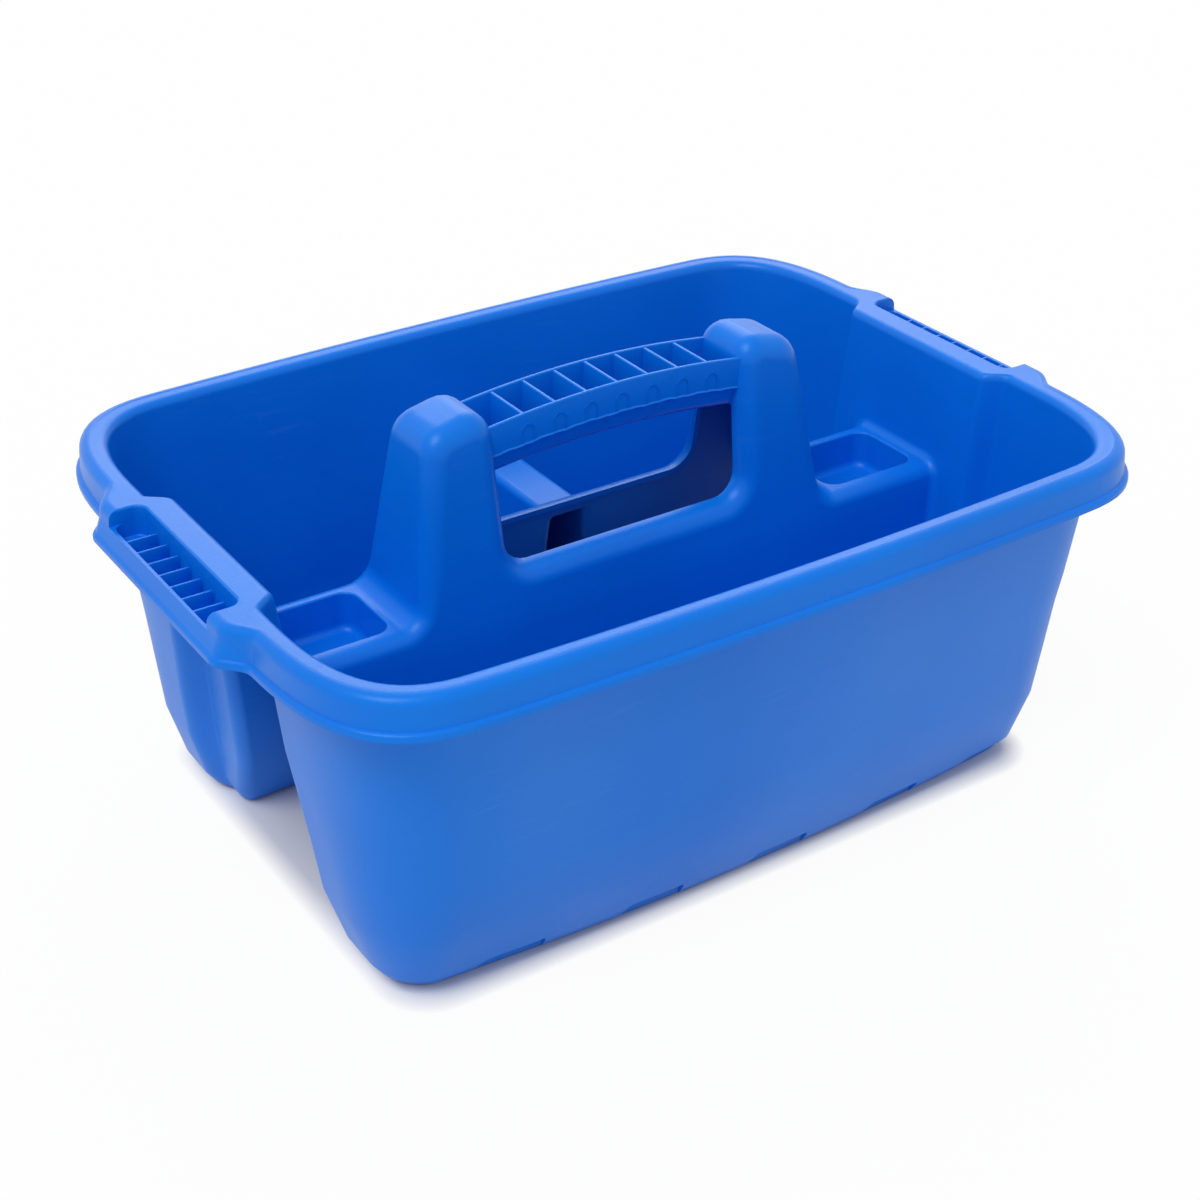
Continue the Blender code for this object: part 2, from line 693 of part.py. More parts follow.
def post_levels(inset):
    """Plan outlines of a post from its flared foot to its rounded crown, set in by inset."""
    low = SHELF_BOTTOM + SEAM / 2
    levels = []
    heights = [low, SHELF_TOP, SHELF_TOP + POST_FLARE / 3, SHELF_TOP + POST_FLARE, SILL_TOP, POST_SHOULDER]
    for z in heights:
        foot = max(0.0, 1 - (z - SHELF_TOP) / POST_FLARE)
        foot = min(1.0, foot) ** 2 * POST_FLARE
        side = POST_HALF_WIDTH - (z - SILL_TOP) * POST_SIDE_LEAN
        side = min(side, channel_half(z) + WALL) if z < SILL_TOP else side
        inner = POST_INNER + max(0.0, z - SILL_TOP) * POST_INNER_LEAN
        outer = POST_OUTER - (z - SILL_TOP) * POST_OUTER_LEAN * (z > SILL_TOP) + foot
        levels.append((z, inner, outer, side))
    z, inner, outer, side = levels[-1]
    for k in range(1, CROWN_STEPS + 1):
        angle = math.radians(90 * k / CROWN_STEPS)
        shrink = POST_CROWN * (1 - math.cos(angle))
        crown = (inner + shrink * CROWN_INNER_SHARE, outer - shrink, side - shrink * CROWN_SIDE_SHARE)
        levels.append((POST_SHOULDER + POST_CROWN * math.sin(angle),) + crown)
    outlines = []
    for z, inner, outer, side in levels:
        radius = min(POST_EDGE_RADIUS, ROUND_SHARE * side, ROUND_SHARE * (outer - inner) / 2) - inset
        low = (inner + inset, inset - side)
        outlines.append((z, rounded_rectangle(low, (outer - inset, side - inset), radius)))
    return outlines


def build_posts():
    """Hollow posts, open towards the grip, with their rounded crowns, that carry it above the ridge."""
    post = stack("post", post_levels(0.0))
    hollow = [(z - WALL if z > SILL_TOP else z, points) for z, points in post_levels(WALL)]
    hollow.insert(0, (hollow[0][0] - CUT_RUN, hollow[0][1]))
    combine(post, stack("post_hollow", hollow), "DIFFERENCE")
    levels = []
    for z in (SHELF_BOTTOM - CUT_RUN, SILL_TOP, GRIP_TOP_AT_POSTS - GRIP_DEPTH - MOUTH_MARGIN):
        half = POST_HALF_WIDTH - max(0.0, z - SILL_TOP) * POST_SIDE_LEAN - WALL
        reach = POST_INNER + MOUTH_REACH
        levels.append((z, [(0.0, -half), (reach, -half), (reach, half), (0.0, half)]))
    combine(post, stack("post_mouth", levels), "DIFFERENCE")
    crown = clip(copy_of(post, "crown"), (None, None, POST_SHOULDER + SEAM / 2), (None, None, None))
    finish(crown, "right_post_crown")
    mirrored(crown, "left_post_crown", "x")
    clip(post, (None, None, None), (None, None, POST_SHOULDER - SEAM / 2))
    finish(post, "right_post")
    mirrored(post, "left_post", "x")


def grip_rise(x):
    """Height that the arched grip has gained at x over its ends."""
    return GRIP_RISE * (1 - (x / POST_INNER) ** 2)


def grip_section(x, inset):
    """Half-round-bottomed section of the grip in Y and Z; set in by inset for the inside."""
    top = GRIP_TOP_AT_POSTS + grip_rise(x)
    half = GRIP_HALF_WIDTH - inset
    low = top - GRIP_DEPTH + inset
    radius = half * GRIP_KEEL_SHARE
    right = [(half, top)]
    right += arc((half - radius, low + radius), radius, 0, -90, 5)
    return right + [(-y, z) for y, z in reversed(right)]


def build_grip():
    """Arched trough between the posts, open on top, crossed by ribs."""
    end = POST_INNER - SEAM
    places = [-end + 2 * end * k / GRIP_STEPS for k in range(GRIP_STEPS + 1)]
    rings = []
    for x in places:
        outside = grip_section(x, 0.0)
        inside = grip_section(x, GRIP_WALL)
        ring = []
        for y, z in outside + list(reversed(inside)):
            lean = (z - SILL_TOP) * POST_INNER_LEAN
            ring.append((x * (end + lean) / end, y, z))
        rings.append(ring)
    finish(loft("grip_trough", rings), "grip_trough")
    for k in range(RIB_COUNT):
        x = (k - (RIB_COUNT - 1) / 2) * RIB_PITCH
        section = grip_section(x, GRIP_WALL + SEAM)
        top = GRIP_TOP_AT_POSTS + grip_rise(x) - RIB_DROP
        section = [(y, min(z, top)) for y, z in section]
        thick = RIB_THICKNESS / 2
        rib = along_x("rib", [(x - thick, section), (x + thick, section)])
        finish(rib, "grip_rib_%d" % (k + 1))


def build_partition():
    """Hollow wall across the back compartment, open below and towards the channel."""
    bottom = BAND_HEIGHT + SEAM / 2
    front = channel_half(SHELF_TOP)
    wall = partition_block("partition", PARTITION_TOP, 0.0, front, FAR / 2)
    combine(wall, wall_solid("room", WALL + SEAM, bottom, WALL_TOP), "INTERSECT")
    combine(wall, ridge_block("ridge_cut", FAR / 2, WALL + SEAM), "DIFFERENCE")
    hollow = partition_block("hollow", PARTITION_TOP - WALL, -WALL, 0.0, partition_back())
    combine(wall, hollow, "DIFFERENCE")
    finish(wall, "back_partition")


def main():
    clear_scene()
    build_bases()
    build_walls()
    build_rim()
    build_handles()
    build_fins()
    build_ridge()
    build_shelves()
    build_posts()
    build_grip()
    build_partition()


main()
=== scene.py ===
"""Looks of the grooming tray: one seamless blue moulding with a ribbed grip and finned end handles.

Metres, +Z up, X along the long side, the front at -Y. The moulding is modelled as the sheet that its upper
side shows, with the rim, the compartments, the ridge, the posts and the pockets in it. Solidify gives that
sheet its wall.
"""

import math

import bmesh
import bpy
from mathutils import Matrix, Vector


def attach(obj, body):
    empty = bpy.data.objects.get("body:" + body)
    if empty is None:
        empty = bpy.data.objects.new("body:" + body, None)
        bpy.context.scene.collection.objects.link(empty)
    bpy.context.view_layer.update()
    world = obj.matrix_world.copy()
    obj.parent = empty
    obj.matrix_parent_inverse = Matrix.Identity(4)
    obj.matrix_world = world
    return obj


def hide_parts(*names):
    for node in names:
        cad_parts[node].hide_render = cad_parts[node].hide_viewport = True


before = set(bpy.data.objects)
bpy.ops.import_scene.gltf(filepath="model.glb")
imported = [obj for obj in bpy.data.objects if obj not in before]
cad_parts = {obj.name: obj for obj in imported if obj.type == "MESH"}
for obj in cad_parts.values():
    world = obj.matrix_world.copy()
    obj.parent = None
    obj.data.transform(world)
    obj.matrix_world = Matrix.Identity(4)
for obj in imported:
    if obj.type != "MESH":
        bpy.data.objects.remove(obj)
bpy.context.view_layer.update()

bl_info = {
    "name": "Grooming tray",
    "version": (1, 0, 0),
    "blender": (4, 5, 0),
    "location": "View3D > Sidebar > Tray",
    "description": "Builds a moulded grooming tray with its grip, end handles and stage",
    "category": "Object",
}

BODY = "root"
SIDES = ((-1, "left"), (1, "right"))

# The wall, the height of the compartments' floors, and the foot of the block that becomes the sheet.
WALL = 0.0024
FLOOR = WALL
BLOCK_BOTTOM = -0.020

# The rim. At the end handles its outside and inside step outwards, each between two distances from y = 0.
FLANGE_HALF = (0.2000, 0.1514)
RIM_BOW = 0.0057
RIM_CORNER = (0.0602, 0.0904)
RIM_POWER = 2.97
RIM_TOP = 0.1645
HANDLE_TOP = 0.1640
HANDLE_STEP = (0.0585, 0.0745)
INNER_STEP = (0.0465, 0.0570)
HANDLE_REACH = 0.0094
INNER_REACH = 0.0088

# The ridge: heights, and how far out the posts and the hand space end. Its sides bend at two heights.
SHELF = 0.1130
SILL = 0.1250
PARTITION = 0.1145
POST_END = 0.1050
POST_INNER = 0.0612
WINDOW_END = 0.0600
RIDGE_KINK = 0.0360
RIDGE_BEND = 0.0990
POST_NECK = 0.1655
CROWN = 0.1985
CROWN_OUTER = 0.1912
RIDGE_SIDES = ((0.0, (0.0545,)), (RIDGE_KINK, (0.0340,)), (RIDGE_BEND, (0.0296,)), (0.197, (0.0172,)))

# Pockets and handle troughs at the right, each as (inner, near) and (outer, far) corners.
POCKET = ((0.1148, -0.0190), (0.1654, 0.0190))
POCKET_FLOOR = 0.0955
TROUGH = ((0.1906, -0.0472), (0.2038, 0.0472))
TROUGH_FLOOR = 0.1506
LOW_WALL = 0.1573
TROUGH_WALL_SHARE = 0.28

# How finely the outlines are divided along the sides, round the corners and over the steps.
SIDE_PLACES = (0.16, 0.30, 0.44, 0.58, 0.72, 0.86)
CORNER_STEPS = 14
CORNER_END = 15
STEP_COUNT = 8

# The stage: lamps as (name, place, strength, angle), and the camera of the photo.
AMBIENT = 0.62
PAPER_GLOW = 0.94
FOOT_HALF = (0.1450, 0.0950)
FOOT_CLEAR = (0.0145, 0.0260)
LAMPS = (("key", (-0.55, -0.24, 1.2), 1.45, 0.5), ("back", (0.50, 0.86, 0.75), 0.72, 0.7))
CAMERA_PLACE = (-0.44475, -0.67243, 0.55464)
CAMERA_TARGET = (0.00433, 0.00713, 0.07507)
CAMERA_LENS = 62.26
CAMERA_SENSOR = 36.0

# Radius of an edge whose bevel weight is 1, and the lip left round the hand space.
WIDEST = 0.014
WINDOW_LIP = 0.0096

# Notches in the front foot: their middles, then (height, depth, half width) from the foot upwards.
NOTCH_PLACES = (-0.1158, -0.0490, 0.0166, 0.0810, 0.1396)
NOTCH_LEVELS = (
    (-0.0020, 0.0024, 0.0158), (0.0086, 0.0023, 0.0142), (0.0098, 0.0020, 0.0137), (0.0108, 0.0002, 0.0130))

# The grip: its arched lines are given by their heights at the middle and at the posts.
GRIP_END = 0.0640
GRIP_SPAN = 0.0620
GRIP_HALF = 0.0142
GRIP_WALL = 0.0018
GRIP_TOP = (0.1928, 0.1885)
GRIP_FLASH = (0.1792, 0.1750)
GRIP_KEEL = (0.1668, 0.1626)
FLASH_PROFILE = ((-0.0014, -0.0008), (-0.0001, -0.0006), (0.0005, -0.0003), (0.0004, 0.0001), (0.0, 0.0004))
GRIP_STEPS = 96
RIB_SPACING = 0.0155
RIB_COUNT = 7

# Raised outline on the grip's side: half width, height and cut of its corners, and the width of its line.
TAB = (0.0032, 0.0082, 0.0021)
TAB_LINE = 0.0006

# Fins of the end handles, along y, and how far out their free ends stand.
FIN_PLACES = (-0.0321, -0.0214, -0.0107, 0.0, 0.0107, 0.0214, 0.0321)
FIN_TIP = 0.1916


class TraySizes(bpy.types.PropertyGroup):
    """Sizes that a user would change."""

    rib_thickness: bpy.props.FloatProperty(
        name="Rib thickness", description="Thickness of the ribs across the grip",
        default=0.0016, unit="LENGTH")
    fin_thickness: bpy.props.FloatProperty(
        name="Fin thickness", description="Thickness of the fins in the end handles",
        default=0.0013, unit="LENGTH")
    grain: bpy.props.FloatProperty(
        name="Grain", description="Strength of the fine grain of the plastic", default=0.32)


class TrayColours(bpy.types.PropertyGroup):
    """Colours of the plastic and of the stage."""

    plastic: bpy.props.FloatVectorProperty(
        name="Plastic", description="Colour of the polypropylene", subtype="COLOR", size=4,
        default=(0.0006, 0.155, 0.690, 1.0))
    # Paler colour used for rubbed wear on both sides, and as a painted sheen that makes the outside walls
    # paler
    wear_and_sheen: bpy.props.FloatVectorProperty(
        name="Wear and sheen", description="Paler colour of worn and stressed plastic", subtype="COLOR", size=4,
        default=(0.080, 0.270, 0.780, 1.0))
    floor: bpy.props.FloatVectorProperty(
        name="Floor", description="Colour of the floor", subtype="COLOR", size=4,
        default=(0.80, 0.80, 0.80, 1.0))


def deselect():
    """Object mode with nothing selected."""
    if bpy.context.object and bpy.context.object.mode != "OBJECT":
        bpy.ops.object.mode_set(mode="OBJECT")
    bpy.ops.object.select_all(action="DESELECT")


def activate(item):
    """Make the item the only selected one."""
    deselect()
    item.select_set(True)
    bpy.context.view_layer.objects.active = item


def open_mesh(item):
    """Edit mode with nothing selected; returns the edit mesh."""
    activate(item)
    bpy.ops.object.mode_set(mode="EDIT")
    bpy.ops.mesh.select_mode(type="FACE")
    bpy.ops.mesh.select_all(action="DESELECT")
    mesh = bmesh.from_edit_mesh(item.data)
    mesh.verts.ensure_lookup_table()
    mesh.faces.ensure_lookup_table()
    return mesh


def close_mesh():
    """Back to object mode."""
    bpy.ops.object.mode_set(mode="OBJECT")


def smooth_step(value):
    """0 below 0, 1 above 1 and an even S between."""
    t = min(1.0, max(0.0, value))
    return t * t * (3.0 - 2.0 * t)


def between(stations, z):
    """Values at z from rising (z, values) stations, held past the ends."""
    if z <= stations[0][0]:
        return stations[0][1]
    for (low, first), (high, second) in zip(stations, stations[1:]):
        if z <= high:
            t = (z - low) / (high - low)
            return tuple(a + (b - a) * t for a, b in zip(first, second))
    return stations[-1][1]


def side_stations(start, low, high):
    """Places along an end from the corner inwards, close together where the rim and the wall step."""
    rim_high, rim_low = high + 0.0175, high + 0.0015
    places = [start + (rim_high - start) * k / 3 for k in (1, 2)]
    places += [rim_high + (rim_low - rim_high) * k / STEP_COUNT for k in range(STEP_COUNT + 1)]
    return places + [high + (low - high) * k / STEP_COUNT for k in range(STEP_COUNT + 1)]


def corner_ring(half, bow, corner, power, step, shift, stations=None):
    """Closed outline with bowed sides and superelliptic corners, whose ends move by shift inside step."""
    a, b = half
    p, q = corner
    quarter = []
    for place in SIDE_PLACES:
        quarter.append((place * (a - p), b))
    for k in range(CORNER_STEPS + 1):
        t = math.radians(90 - (90 - CORNER_END) * k / CORNER_STEPS)
        x = a - p + p * math.cos(t) ** (2 / power)
        quarter.append((x, b - q + q * math.sin(t) ** (2 / power)))
    inner, outer = step
    for y in side_stations(quarter[-1][1], *(stations or step)):
        reach = max(0.0, (y - (b - q)) / q)
        x = a - p + p * (1 - reach ** power) ** (1 / power)
        quarter.append((x + shift * smooth_step((outer - y) / (outer - inner)), y))
    bowed = [(x, y - bow * (x / a) ** 2 * y / b) for x, y in quarter]
    right = bowed + [(x, -y) for x, y in reversed(bowed)]
    return right + [(-x, -y) for x, y in right]


# Inside of the compartments' outer walls as (height, (half length, half depth, bow of the long side, corner
# along x and y, power of the corner, inner and outer end of the step, recess behind the handle)).
WALLS = (
    (FLOOR, (0.1606, 0.1092, 0.0085, 0.0156, 0.0160, 2.0, 0.0665, 0.0770, 0.0040)),
    (0.0112, (0.1664, 0.1150, 0.0075, 0.0200, 0.0210, 2.0, 0.0640, 0.0745, 0.0062)),
    (RIDGE_KINK, (0.1734, 0.1219, 0.0059, 0.0296, 0.0340, 2.1, 0.0589, 0.0692, 0.0096)),
    (0.0600, (0.1759, 0.1248, 0.0057, 0.0340, 0.0430, 2.3, 0.0560, 0.0660, 0.0102)),
    (0.0850, (0.1783, 0.1277, 0.0057, 0.0380, 0.0530, 2.5, 0.0510, 0.0610, 0.0104)),
    (RIDGE_BEND, (0.1797, 0.1300, 0.0057, 0.0410, 0.0610, 2.7, 0.0480, 0.0580, 0.0102)),
    (0.1480, (0.1842, 0.1352, 0.0057, 0.0450, 0.0740, 2.95, 0.0470, 0.0570, 0.0092)),
    (0.1600, (0.1856, 0.1370, 0.0057, 0.0458, 0.0760, 2.97, 0.0465, 0.0570, 0.0088)),
)


def wall_ring(z):
    """Ring of the inside of the outer walls at height z."""
    a, b, bow, p, q, power, inner, outer, recess = between(WALLS, z)
    return [(x, y, z) for x, y in corner_ring((a, b), bow, (p, q), power, (inner, outer), -recess)]


def rim_ring(inset, z, handle_inset=None, handle_z=None, inner=False):
    """Ring of the rim at an inset from the flange; the end handles may have another inset and height."""
    step = INNER_STEP if inner else HANDLE_STEP
    shift = -INNER_REACH if inner else HANDLE_REACH
    if handle_inset is not None:
        shift += inset - handle_inset
    half, corner = ((length - inset, depth - inset) for length, depth in (FLANGE_HALF, RIM_CORNER))
    outline = corner_ring(half, RIM_BOW, corner, RIM_POWER, step, shift, INNER_STEP)
    ring = []
    for x, y in outline:
        share = smooth_step((step[1] - abs(y)) / (step[1] - step[0])) if abs(x) > 0.15 else 0.0
        height = z if handle_z is None else z + (handle_z - z) * share
        ring.append((x, y, height))
    return ring


def arc(centre, radius, start, end, steps):
    """Points along an arc, from and to angles in degrees."""
    points = []
    for k in range(steps + 1):
        angle = math.radians(start + (end - start) * k / steps)
        points.append((centre[0] + radius * math.cos(angle), centre[1] + radius * math.sin(angle)))
    return points


def ring_loft(name, rings):
    """Closed solid through rings: a circle's face is extruded from ring to ring and laid on each."""
    deselect()
    bpy.ops.mesh.primitive_circle_add(vertices=len(rings[0]), radius=1.0, fill_type="NGON")
    item = bpy.context.object
    item.name = name
    item.data.name = name
    bpy.ops.object.mode_set(mode="EDIT")
    bpy.ops.mesh.select_mode(type="FACE")
    bpy.ops.mesh.select_all(action="SELECT")
    mesh = bmesh.from_edit_mesh(item.data)
    mesh.verts.ensure_lookup_table()
    order = list(range(len(mesh.verts)))
    for index, place in zip(order, rings[0]):
        mesh.verts[index].co = place
    for ring in rings[1:]:
        bpy.ops.mesh.extrude_region_move()
        mesh = bmesh.from_edit_mesh(item.data)
        mesh.verts.ensure_lookup_table()
        above = []
        for index in order:
            vertex = mesh.verts[index]
            linked = [edge.other_vert(vertex) for edge in vertex.link_edges]
            above.append(next(other.index for other in linked if other.select))
        for index, place in zip(above, ring):
            mesh.verts[index].co = place
        order = above
    bmesh.update_edit_mesh(item.data)
    bpy.ops.mesh.select_all(action="SELECT")
    bpy.ops.mesh.normals_make_consistent(inside=False)
    bpy.ops.object.mode_set(mode="OBJECT")
    return item


def boolean(item, other, operation):
    """Add the other item to this one, or cut it away, and remove it."""
    activate(item)
    modifier = item.modifiers.new("boolean", "BOOLEAN")
    modifier.operation = operation
    modifier.solver = "EXACT"
    modifier.object = other
    bpy.ops.object.modifier_apply(modifier=modifier.name)
    bpy.data.objects.remove(other, do_unlink=True)
    return item


def rounded_rectangle(low, high, radius, steps=5):
    """Outline between two corners, each of its own corners turned with the radius."""
    points = arc((high[0] - radius, high[1] - radius), radius, 0, 90, steps)
    points += arc((low[0] + radius, high[1] - radius), radius, 90, 180, steps)
    points += arc((low[0] + radius, low[1] + radius), radius, 180, 270, steps)
    points += arc((high[0] - radius, low[1] + radius), radius, 270, 360, steps)
    return points


def tub_block():
    """Block whose upper side is the rim and one wide tub.

    From below: the flange's bead, the rim's side, outer shoulder, flat top and inner shoulder, the walls.
    """
    rings = [[(x, y, BLOCK_BOTTOM) for x, y, _ in rim_ring(0.0, 0.0)]]
    bead = ((0.0, 0.1480), (0.0, 0.1500), (0.0004, 0.1507), (0.0011, 0.1511), (0.0017, 0.1514))
    rings += [rim_ring(inset, z, inset * 0.9) for inset, z in bead]
    rings.append(rim_ring(0.0020, 0.1545, 0.0029, 0.1545))
    rings.append(rim_ring(0.0022, 0.1573, 0.0040, 0.1573))
    outer_radius, inner_radius, inner_edge, steps = 0.0045, 0.0040, 0.0144, 6
    for k in range(steps + 1):
        angle = math.radians(90 * k / steps)
        out, down = outer_radius * (1 - math.cos(angle)), outer_radius * (1 - math.sin(angle))
        rings.append(rim_ring(0.0024 + out, RIM_TOP - down, 0.0042 + out, HANDLE_TOP - down))
    top = ((0.0072, 0.0, 0.0090), (0.0077, 0.0003, 0.0093), (0.0084, 0.0003, 0.0096))
    rings += [rim_ring(inset, RIM_TOP - drop, handle_inset, HANDLE_TOP) for inset, drop, handle_inset in top]
    for k in range(steps + 1):
        angle = math.radians(90 * k / steps)
        inset = inner_edge - inner_radius * (1 - math.sin(angle))
        rings.append(rim_ring(inset, HANDLE_TOP - inner_radius * (1 - math.cos(angle)), inner=True))
    for z in sorted({z for z, _ in WALLS if z < 0.16} | {0.127}, reverse=True):
        rings.append(wall_ring(z))
    return ring_loft("moulding", rings)


def ridge_half(z):
    """Half width of the ridge's outside at height z."""
    return between(RIDGE_SIDES, z)[0]


def select_faces(item, test):
    """Select the faces that pass the test; the item is in edit mode."""
    mesh = bmesh.from_edit_mesh(item.data)
    for face in mesh.faces:
        face.select_set(test(face))
    bmesh.update_edit_mesh(item.data)


def turned(line, steps=6):
    """Line of (x, z, radius) with an arc in place of each corner; a radius of 0 keeps the corner."""
    points = []
    for k, (x, z, radius) in enumerate(line):
        if not radius:
            points.append((x, z))
            continue
        corner = Vector((x, z))
        ahead = (Vector(line[k + 1][:2]) - corner).normalized()
        back = (Vector(line[k - 1][:2]) - corner).normalized()
        half = math.acos(max(-1.0, min(1.0, ahead.dot(back)))) / 2
        centre = corner + (ahead + back).normalized() * (radius / math.sin(half))
        reach = radius / math.tan(half)
        first, last = (corner + leg * reach - centre for leg in (back, ahead))
        start = math.degrees(math.atan2(first.y, first.x))
        sweep = (math.degrees(math.atan2(last.y, last.x)) - start + 180) % 360 - 180
        points += arc(centre, radius, start, start + sweep, steps)
    return points


def ridge_outline():
    """The ridge seen from the long side: shelves, posts, window corners and sill, each corner turned."""
    half = (
        (0.190, -0.004, 0.0), (0.190, SHELF, 0.0), (POST_END, SHELF, 0.0095), (0.0972, POST_NECK, 0.0),
        (0.0934, CROWN_OUTER, 0.0130), (0.0621, CROWN, 0.0108), (POST_INNER, POST_NECK, 0.0),
        (WINDOW_END, SILL, 0.0118))
    mirrored = [(-x, z, radius) for x, z, radius in reversed(half)]
    return turned(list(half) + mirrored)


def ridge_block():
    """The ridge with its sill and both posts, drawn out of its outline to both sides and rounded."""
    outline = ridge_outline()
    rings = [[(x, y, z) for x, z in outline] for y in (-0.01, 0.01)]
    item = ring_loft("ridge", rings)
    open_mesh(item)
    for z in (RIDGE_KINK, RIDGE_BEND):
        bpy.ops.mesh.select_all(action="SELECT")
        bpy.ops.mesh.bisect(plane_co=(0, 0, z), plane_no=(0, 0, 1))
    mesh = bmesh.from_edit_mesh(item.data)
    for vertex in mesh.verts:
        vertex.co.y = math.copysign(ridge_half(vertex.co.z), vertex.co.y)
    bmesh.update_edit_mesh(item.data)
    close_mesh()
    weigh_edges(item, ridge_radius, 40)
    round_edges(item, 6)
    return item


def partition_block():
    """The partition of the back compartment, as a leaning block with a rounded top."""
    rings = []
    for z, half in ((-0.004, 0.0190), (RIDGE_KINK, 0.0160), (PARTITION, 0.0108)):
        rings.append([(-half, 0.020, z), (half, 0.020, z), (half, 0.150, z), (-half, 0.150, z)])
    item = ring_loft("partition", rings)

    def top_radius(middle, axis, fold):
        return 0.0032 if near(middle.z, PARTITION) and axis == "y" else 0.0

    weigh_edges(item, top_radius)
    round_edges(item, 4)
    return item


def lip_profile(radius):
    """Rounded lip from the upright wall over to the level top, as (outwards, up) from the sharp edge."""
    profile = []
    for k in range(6):
        angle = math.radians(80 * k / 5)
        profile.append((radius * (1 - math.cos(angle)), -radius * (1 - math.sin(angle))))
    out, up = profile[-1]
    profile.append((out + 0.30 * radius, up + 0.053 * radius))
    profile.append((out + 0.30 * radius, 0.008))
    return profile


def well(name, side, place, corner, floor, top, foot_radius, lip_radius, draft):
    """Cutter of a rounded well with a filleted floor and a lip rounded over at the top."""
    low, high = place

    def ring(z, inset):
        first, last = (low[0] + inset, low[1] + inset), (high[0] - inset, high[1] - inset)
        points = rounded_rectangle(first, last, max(0.0005, corner - inset))
        return [(side * x, y, z) for x, y in points]

    rings = []
    for k in range(6):
        angle = math.radians(90 * k / 5)
        up, inset = foot_radius * (1 - math.cos(angle)), foot_radius * (1 - math.sin(angle))
        rings.append(ring(floor + up, draft + inset))
    rings += [ring(top + up, -out) for out, up in lip_profile(lip_radius)]
    return ring_loft(name, rings)


def trough_block(side):
    """Cutter of a handle's trough, which also lowers the trough's outer wall between the shoulders."""
    low, high = TROUGH
    beyond = 0.2130
    corner, foot, draft = 0.0050, 0.0008, 0.0004

    def ring(z, inset, outer=None):
        points = rounded_rectangle(
            (low[0] + inset, low[1] + inset), ((outer or high[0]) - inset, high[1] - inset), corner - inset)
        return [(side * x, y, z) for x, y in points]

    rings = []
    for k in range(4):
        angle = math.radians(90 * k / 3)
        rings.append(ring(TROUGH_FLOOR + foot * (1 - math.cos(angle)), draft + foot * (1 - math.sin(angle))))
    rings.append(ring(LOW_WALL - 0.0004, 0.0))
    rings.append(ring(LOW_WALL - 0.0001, 0.0, high[0] + 0.0003))
    rings.append(ring(LOW_WALL, 0.0, beyond))
    rings += [ring(HANDLE_TOP + up, -out, beyond) for out, up in lip_profile(0.0010)]
    return ring_loft("trough", rings)


def main_axis(direction):
    """The axis that the direction runs along most."""
    return "xyz"[max(range(3), key=lambda k: abs(direction[k]))]


def near(value, place, slack=0.0008):
    """Whether the value lies within the slack of the place."""
    return abs(value - place) < slack


def weigh_edges(item, radius_of, least_fold=18):
    """Give each folded edge a bevel weight from radius_of(middle, axis it runs along, fold in degrees)."""
    mesh = bmesh.new()
    mesh.from_mesh(item.data)
    layers, weight = mesh.edges.layers.float, "bevel_weight_edge"
    layer = layers.get(weight) or layers.new(weight)
    for edge in mesh.edges:
        edge[layer] = 0.0
        if len(edge.link_faces) != 2:
            continue
        fold = math.degrees(edge.calc_face_angle_signed(0.0))
        if abs(fold) > least_fold:
            a, b = (vertex.co for vertex in edge.verts)
            edge[layer] = radius_of((a + b) / 2, main_axis(b - a), fold) / WIDEST
    mesh.to_mesh(item.data)
    mesh.free()


def ridge_radius(middle, axis, fold):
    """Radius of the ridge's long edges: wide along the sill, narrower along the shelves.

    Edges across the ridge are turned already, and those below the shelves or in the end walls stay sharp.
    """
    x, z = abs(middle.x), middle.z
    if axis == "y" or z < SHELF - 0.001 or x > 0.1895:
        return 0.0
    if x > 0.080:
        return 0.0062 + 0.0030 * smooth_step((z - SHELF) / 0.020)
    return 0.0084 + 0.0008 * smooth_step((z - SILL) / 0.020)


def joint_radius(middle, axis, fold):
    """Radius of the inside corners where the ridge, the partition, the walls and the floors meet."""
    x, y, z = abs(middle.x), abs(middle.y), middle.z
    if fold > 0:
        return 0.0
    if near(z, FLOOR, 0.0003):
        return 0.0024
    if x > 0.150 and y < ridge_half(z) + 0.0015 and z < SHELF + 0.0005:
        return 0.0040
    if x < 0.022 and middle.y > 0.020 and z < PARTITION + 0.0005:
        return 0.0016 if middle.y < 0.060 else 0.0030
    return 0.0


def apply_modifier(item, kind, **settings):
    """Add a modifier with its settings and apply it."""
    activate(item)
    modifier = item.modifiers.new(kind.lower(), kind)
    for key, value in settings.items():
        setattr(modifier, key, value)
    bpy.ops.object.modifier_apply(modifier=modifier.name)


def round_edges(item, segments):
    """Round every weighted edge of the item."""
    apply_modifier(
        item, "BEVEL", width=WIDEST, segments=segments, limit_method="WEIGHT", profile=0.5,
        use_clamp_overlap=False, miter_outer="MITER_SHARP", offset_type="OFFSET")


